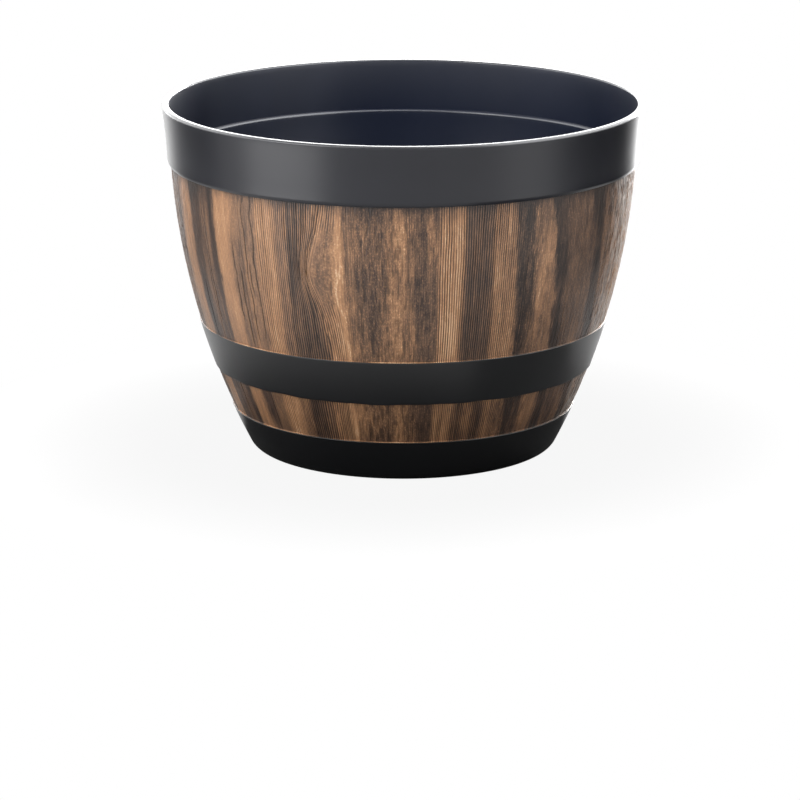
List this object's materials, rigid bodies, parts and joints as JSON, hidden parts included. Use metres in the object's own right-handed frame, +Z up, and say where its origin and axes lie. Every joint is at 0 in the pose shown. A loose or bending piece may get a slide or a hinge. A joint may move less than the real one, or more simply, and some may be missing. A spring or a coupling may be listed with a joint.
{
  "type": "barrel planter",
  "caption": "Round half-barrel floor planter with wood-effect staves, black hoops and lift-out rubber bungs in its floor drains.",
  "frame": {"origin": "centre of the footprint, on the ground that the planter stands on", "axes": "+Z up along the barrel's axis, from the foot to the mouth; -Y is the side seen in the picture"},
  "size_m": [0.302, 0.302, 0.22],
  "materials": {
    "wood_effect": "embossed wood grain, painted in brown and dark grey streaks, satin",
    "black_plastic": "satin moulded plastic",
    "bung_rubber": "matt moulded rubber"
  },
  "bodies": {
    "root": {"barrel_shell": "wood_effect", "rim_hoop": "black_plastic", "middle_hoop": "black_plastic", "base_hoop": "black_plastic"},
    "bung_1": {"drain_bung_1": "bung_rubber"},
    "bung_2": {"drain_bung_2": "bung_rubber"},
    "bung_3": {"drain_bung_3": "bung_rubber"},
    "bung_4": {"drain_bung_4": "bung_rubber"}
  },
  "joints": [
    {"name": "bung_1_lift", "type": "slide", "parent": "root", "child": "bung_1", "axis": [0, 0, 1], "range_m": [0, 0.03]},
    {"name": "bung_2_lift", "type": "slide", "parent": "root", "child": "bung_2", "axis": [0, 0, 1], "range_m": [0, 0.03]},
    {"name": "bung_3_lift", "type": "slide", "parent": "root", "child": "bung_3", "axis": [0, 0, 1], "range_m": [0, 0.03]},
    {"name": "bung_4_lift", "type": "slide", "parent": "root", "child": "bung_4", "axis": [0, 0, 1], "range_m": [0, 0.03]}
  ]
}
